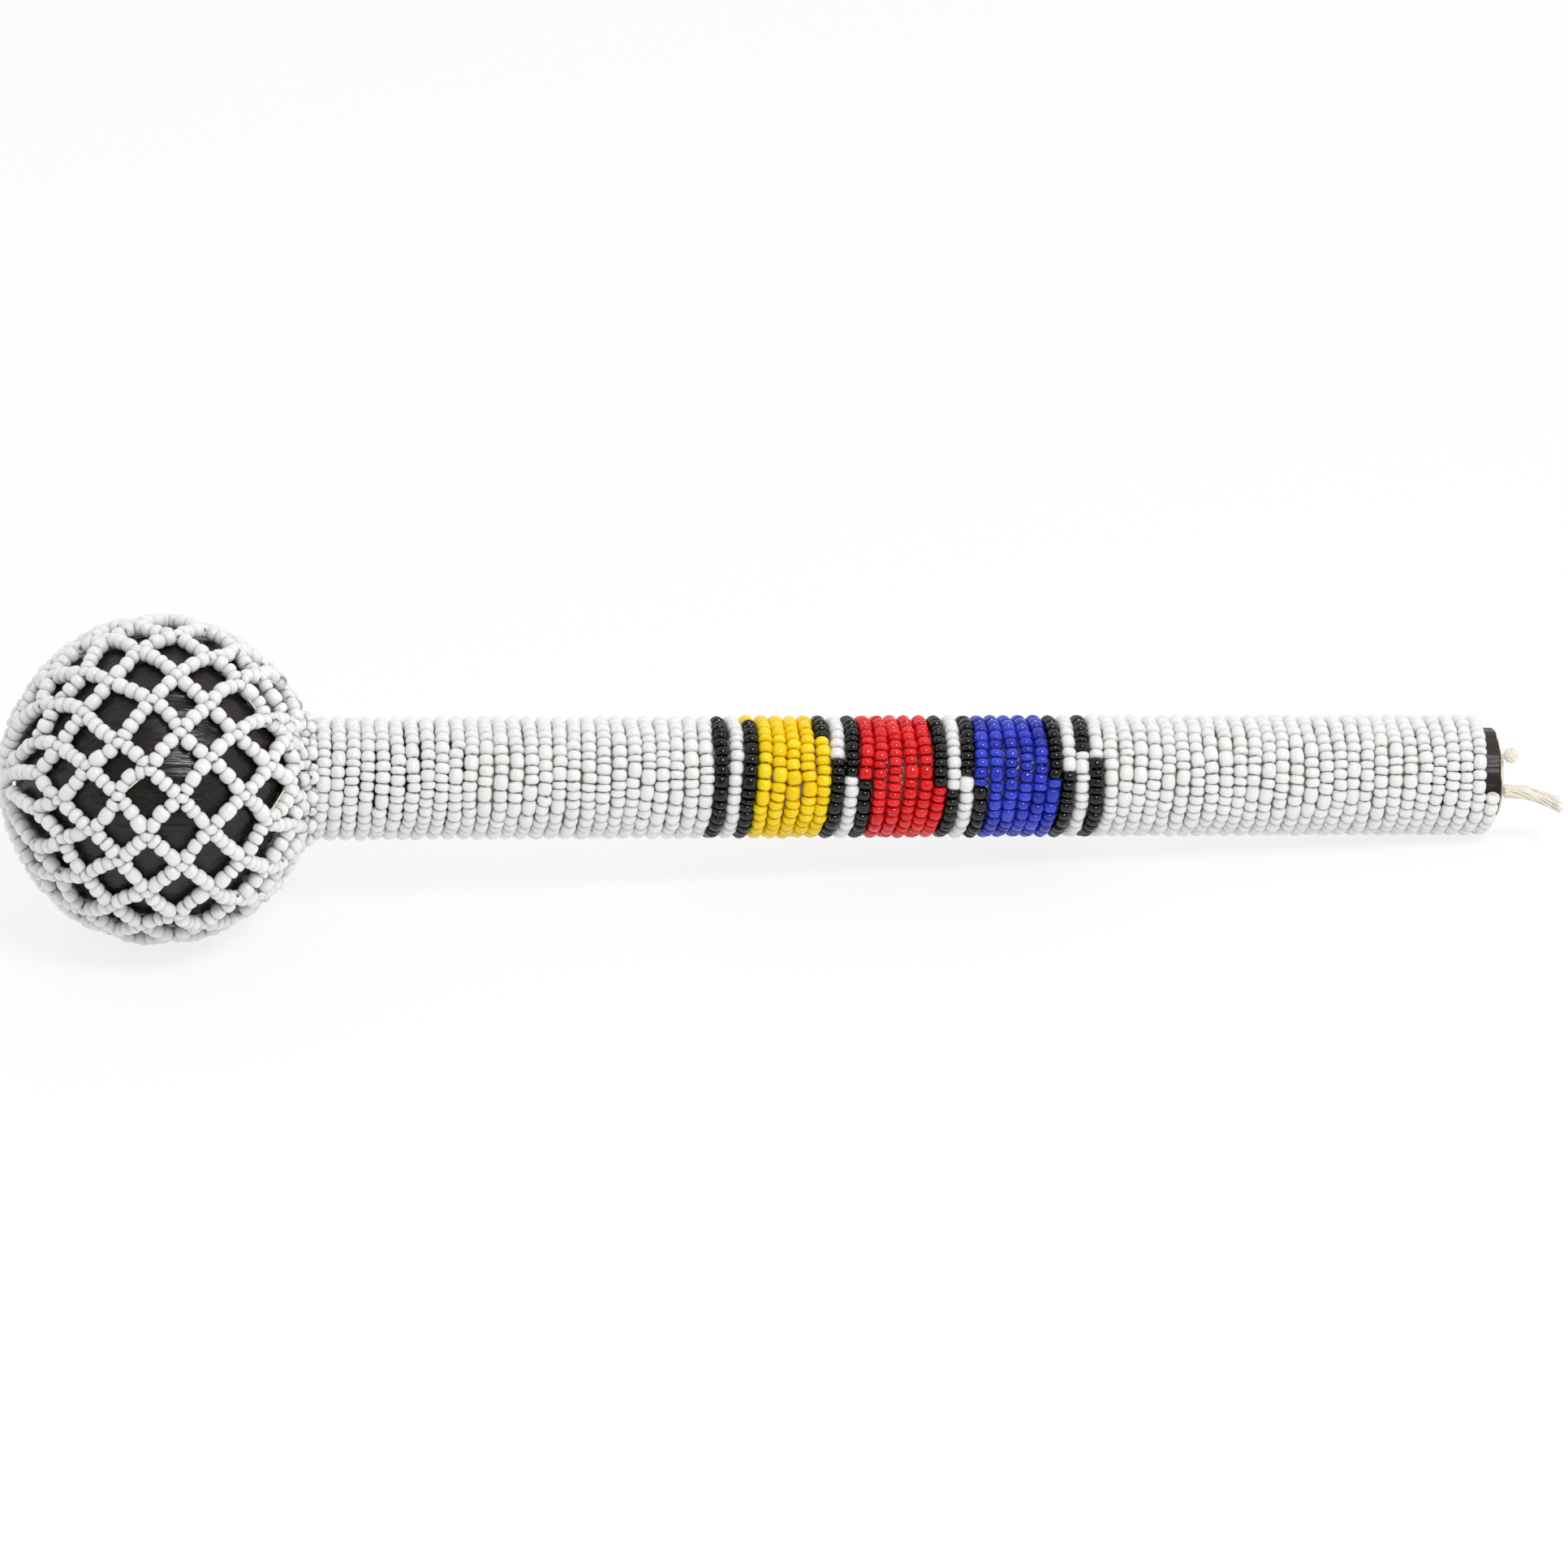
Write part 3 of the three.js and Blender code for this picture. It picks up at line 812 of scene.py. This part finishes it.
# %% Make the net
for part, beads in net_beads.items():
    middles, threads, lengths, widths = (np.array(values) for values in zip(*beads))
    lowest = on_frame(middles)[:, 2] - widths / 2
    middles = middles + np.clip(-lowest, 0, None)[:, None] * np.array(
        [along[2], side[2], rise[2]]
    )
    points, quads = bead_run(middles, threads, middles, lengths, widths)
    tint = bead_tints(net_dice, len(beads))
    piece = make_piece(f"net_{part}_half", on_frame(points), quads, "rattle",
                       "white_bead", ["head_bead_net"], tint=tint)
    piece.data.materials.append(bead_finish["white"])
    print("net", part, "half, beads:", len(beads))

# %% [markdown]
# ## Net thread
# Between the beads the cotton shows as short cream lines. One fine thread from crossing
# to crossing is enough, because the beads hide the rest.

# %% Net thread
strings = []
for (row, column), here in crossings.items():
    for way in (-1, 1):
        if row == LAST_ROW:
            there = here + [math.radians(4.5), way * 0.1]
        else:
            there = crossings[row + 1, (column + way) % COLUMNS].copy()
            there[1] += 2 * math.pi * round((here[1] - there[1]) / (2 * math.pi))
        line = here + np.linspace(0, 1, 8)[:, None] * (there - here)
        path = ball_point(line[:, 0], line[:, 1], NET_LIFT - 0.2 * MM)
        strings.append(tube(path, 0.2 * MM, sides=5))
points, quads = join(strings)
net_thread = make_piece("net_thread", on_frame(points), quads, "rattle", "cotton")
net_thread.data.materials.append(cotton)
print("net strings:", len(strings))

# %% [markdown]
# ## Knot and tail
# Where the string ends, the cotton is tied off in a small hard knot on the tape, and its
# loose end runs on past the butt and frays. The knot is a thread that wraps over itself
# again and again inside a small ball. The tail is a bundle of fine strands: twisted
# together at the root, they open out toward the tip, and each droops by its own amount.

# %% Knot
def centre_of(node):
    low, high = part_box(node)
    return np.array((low + high) / 2), np.array(high - low)


LOOPS, PASSES = 7, 9  # how often the thread goes round the knot, and over its ends
HAIRS = 90
knot_middle, knot_size = centre_of("thread_knot")
s = np.linspace(0, 1, 420)
lap = 2 * math.pi * s
ball = np.stack([
    np.cos(LOOPS * lap) * np.cos(PASSES * lap),
    np.sin(LOOPS * lap) * np.cos(PASSES * lap + 0.4),
    np.sin(PASSES * lap) * 0.9,
], axis=-1)
path = knot_middle + ball * (knot_size[0] / 2 - 0.35 * MM)
fuzz = [tube(path, 0.4 * MM, sides=6)]
knot_dice = np.random.default_rng(5)
for _ in range(HAIRS):
    way = unit(knot_dice.normal(0, 1, 3))
    bend = knot_dice.normal(0, 0.3, 3)
    length = knot_dice.uniform(0.3, 0.8) * MM
    steps = np.linspace(0, 1, 5)[:, None]
    hair = knot_middle + way * knot_size[0] * 0.42
    hair = hair + (way * steps + bend * steps**2) * length
    fuzz.append(tube(hair, 0.035 * MM, sides=3))
points, quads = join(fuzz)
knot = make_piece("cotton_knot", points, quads, "rattle", "cotton", ["thread_knot"])
knot.data.materials.append(cotton)
print("knot across, mm:", round(knot_size[0] / MM, 1))

# %% Frayed tail
STRANDS, TAIL_STEPS = 64, 24
GOLDEN_TURN = 2.39996  # spaces the strands evenly over the tail's round section
low, high = (np.array(corner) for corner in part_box("thread_tail"))
tail_radius = 1.5 * MM
root = np.array([low[0], high[1] - tail_radius, high[2] - tail_radius])
tip = np.array([high[0], low[1] + tail_radius, low[2] + tail_radius])
s = np.linspace(0, 1, TAIL_STEPS)
middle_line = root + (tip - root) * np.stack([s, s**1.6, s**1.8], axis=-1)
tail_dice = np.random.default_rng(11)
strands = []
for index in range(STRANDS):
    angle = index * GOLDEN_TURN
    spread = math.sqrt((index + 0.5) / STRANDS)
    twist = angle + 2.2 * s
    width = tail_radius * (0.82 + 0.5 * s**3) * spread
    wander = tail_dice.normal(0, 0.16, 3) * MM
    sideways = np.stack([0 * s, np.cos(twist) * width, np.sin(twist) * width], axis=-1)
    wavy = np.sin(s[:, None] * 9 + tail_dice.uniform(0, 6, 3)) * wander
    end = int(TAIL_STEPS * tail_dice.uniform(0.8, 1.0))
    strand = (middle_line + sideways + wavy)[:end]
    thick = tail_dice.uniform(0.16, 0.3) * MM * (1 - 0.5 * s[:end] ** 2)
    strands.append(tube(strand, thick, sides=5))
points, quads = join(strands)
tail = make_piece("cotton_tail", points, quads, "rattle", "cotton", ["thread_tail"])
tail.data.materials.append(cotton)
print("tail strands:", STRANDS)

# %% [markdown]
# ## What makes the sound
# Inside the tape is the ball itself, a dried gourd shell, and in it lie the seeds. Nobody
# sees them until the rattle is opened, but they are there. The shell keeps its CAD shape.
# Each seed gets a real seed's form: a rounded lump, a little flattened, with a crease.

# %% Gourd shell and seeds
def brown_skin(name, dark, light, scale):
    finish = Finish(name)
    blotch = finish.noise(scale, detail=5.0)
    speck = finish.noise(scale * 9, detail=2.0)
    shade = finish.blend(finish.spread(blotch, 0.3, 0.7), colour(dark), colour(light))
    finish.set(
        Base_Color=shade,
        Roughness=finish.spread(speck, 0.3, 0.7, 0.45, 0.75),
        Normal=finish.bump(blotch * 0.6 + speck * 0.4, 0.0003, 0.5),
    )
    return finish.material


gourd = brown_skin("dried gourd", "8a6136", "bd935b", 90.0)
shell = frame["nodes"]["head_shell"]
shell.material_slots[0].material = gourd

SEED_ROWS, SEED_COLUMNS = 24, 36
seed_coat = brown_skin("seed coat", "4a2c18", "7d5230", 400.0)
seeds = sorted(name for name in frame["nodes"] if name.startswith("seed_"))
for order, node in enumerate(seeds):
    middle, size = centre_of(node)
    polar = np.linspace(0.001, math.pi - 0.001, SEED_ROWS)[:, None]
    turn = (np.arange(SEED_COLUMNS) * 2 * math.pi / SEED_COLUMNS)[None, :]
    crease = 1 - 0.1 * np.exp(-((np.angle(np.exp(1j * turn)) / 0.35) ** 2)) * np.sin(polar)
    lumps = crease * (0.96 + 0.03 * np.sin(3 * turn + order) * np.sin(polar) ** 2)
    form = np.stack(np.broadcast_arrays(
        np.sin(polar) * np.cos(turn), np.sin(polar) * np.sin(turn), 0.86 * -np.cos(polar)
    ), axis=-1) * lumps[..., None]
    points = middle + form.reshape(-1, 3) * size[0] / 2
    quads = grid_quads(SEED_ROWS, SEED_COLUMNS)
    piece = make_piece(f"loose_{node}", points, quads, f"{node}_body", "seed", [node])
    piece.data.materials.append(seed_coat)
print("seeds:", len(seeds))

# %% [markdown]
# ## Table and light
# The rattle lies on a plain white table that runs off in every direction. One lamp above
# and in front is small enough to leave a point of light on a bead, and a bright room
# fills in the rest. The room is darker toward the front, so that black glass looks deep
# there. Seen by the camera, in a reflection or through glass, the table is mostly plain
# white, and a fifth of its real shading is left, which keeps the rattle's shadow.

# %% Table
HALF_TABLE = 6.0
SHADOW_FADE = 0.82
table = bpy.data.meshes.new("table")
corners = [(-1, -1), (1, -1), (1, 1), (-1, 1)]
table.from_pydata([(x * HALF_TABLE, y * HALF_TABLE, 0) for x, y in corners], [], [range(4)])
table_top = bpy.data.objects.new("table", table)
bpy.context.scene.collection.objects.link(table_top)


def white_table():
    finish = Finish("white table")
    tree = finish.tree
    finish.set(Base_Color=(0.96, 0.96, 0.96, 1.0), Roughness=0.9, Specular_IOR_Level=0.1)
    glow = finish.node("Emission", inputs={"Color": (1.0, 1.0, 1.0, 1.0), "Strength": 1.0})
    seen = finish.node("LightPath", output="Is Camera Ray")
    mirrored = finish.node("LightPath", output="Is Glossy Ray")
    through = finish.node("LightPath", output="Is Transmission Ray")
    plain = Wire(finish, finish.shader.outputs[0])
    share = (seen + mirrored + through) * SHADOW_FADE
    mixed = finish.node("MixShader", inputs={0: share, 1: plain, 2: glow})
    tree.links.new(mixed.socket, tree.nodes["Material Output"].inputs["Surface"])
    return finish.material


table.materials.append(white_table())
print("table top at z = 0")

# %% Room and lamps
FRONT = (-0.1, -0.86, 0.5)
ROOM_BRIGHT, ROOM_DARK = 0.84, 0.30
world = bpy.data.worlds.new("white room")
bpy.context.scene.world = world
world.use_nodes = True
nodes, links = world.node_tree.nodes, world.node_tree.links
way = nodes.new("ShaderNodeTexCoord")
toward_front = nodes.new("ShaderNodeVectorMath")
toward_front.operation = "DOT_PRODUCT"
toward_front.inputs[1].default_value = FRONT
links.new(way.outputs["Generated"], toward_front.inputs[0])
level = nodes.new("ShaderNodeMapRange")
level.interpolation_type = "SMOOTHSTEP"
fade = {"From Min": 0.35, "From Max": 0.92, "To Min": ROOM_BRIGHT, "To Max": ROOM_DARK}
for socket, value in fade.items():
    level.inputs[socket].default_value = value
links.new(toward_front.outputs["Value"], level.inputs["Value"])
links.new(level.outputs[0], nodes["Background"].inputs["Strength"])
nodes["Background"].inputs["Color"].default_value = (1.0, 1.0, 1.0, 1.0)


LAMP_PLACE, LAMP_AIM = Vector((0.32, -0.72, 1.1)), Vector((0, 0, 0.02))
LAMP_WIDTH, LAMP_POWER = 0.36, 9.5
lamp_data = bpy.data.lights.new("key lamp", "AREA")
lamp_data.shape = "RECTANGLE"
lamp_data.size = lamp_data.size_y = LAMP_WIDTH
lamp_data.energy = LAMP_POWER
lamp = bpy.data.objects.new("key lamp", lamp_data)
lamp.location = LAMP_PLACE
lamp.rotation_mode = "QUATERNION"
lamp.rotation_quaternion = (LAMP_AIM - LAMP_PLACE).to_track_quat("-Z", "Y")
bpy.context.scene.collection.objects.link(lamp)
print("lamps:", len(bpy.data.lights))

# %% [markdown]
# ## Camera
# A long lens from the near side, well above the table, looks down on the rattle with the
# head to the left. The head end is slightly nearer than the butt.

# %% Camera
AZIMUTH, ELEVATION = math.radians(-8.0), math.radians(30.0)
DISTANCE = 1.409
LENS = 154.5
AIM_ALONG, AIM_DOWN = 130.5 * MM, 1.7 * MM
back = Vector((
    math.sin(AZIMUTH) * math.cos(ELEVATION),
    -math.cos(AZIMUTH) * math.cos(ELEVATION),
    math.sin(ELEVATION),
))
aim = head_middle + AIM_ALONG * along - [0, 0, AIM_DOWN]
camera_data = bpy.data.cameras.new("camera")
camera_data.lens = LENS
camera_data.sensor_width = 36.0
camera_data.clip_start, camera_data.clip_end = 0.05, 50.0
camera = bpy.data.objects.new("camera", camera_data)
camera.location = Vector(aim) + back * DISTANCE
camera.rotation_mode = "QUATERNION"
camera.rotation_quaternion = (-back).to_track_quat("-Z", "Y")
bpy.context.scene.collection.objects.link(camera)
bpy.context.scene.camera = camera
bpy.context.scene.view_settings.view_transform = "Standard"
print("camera at", [round(c, 3) for c in camera.location])
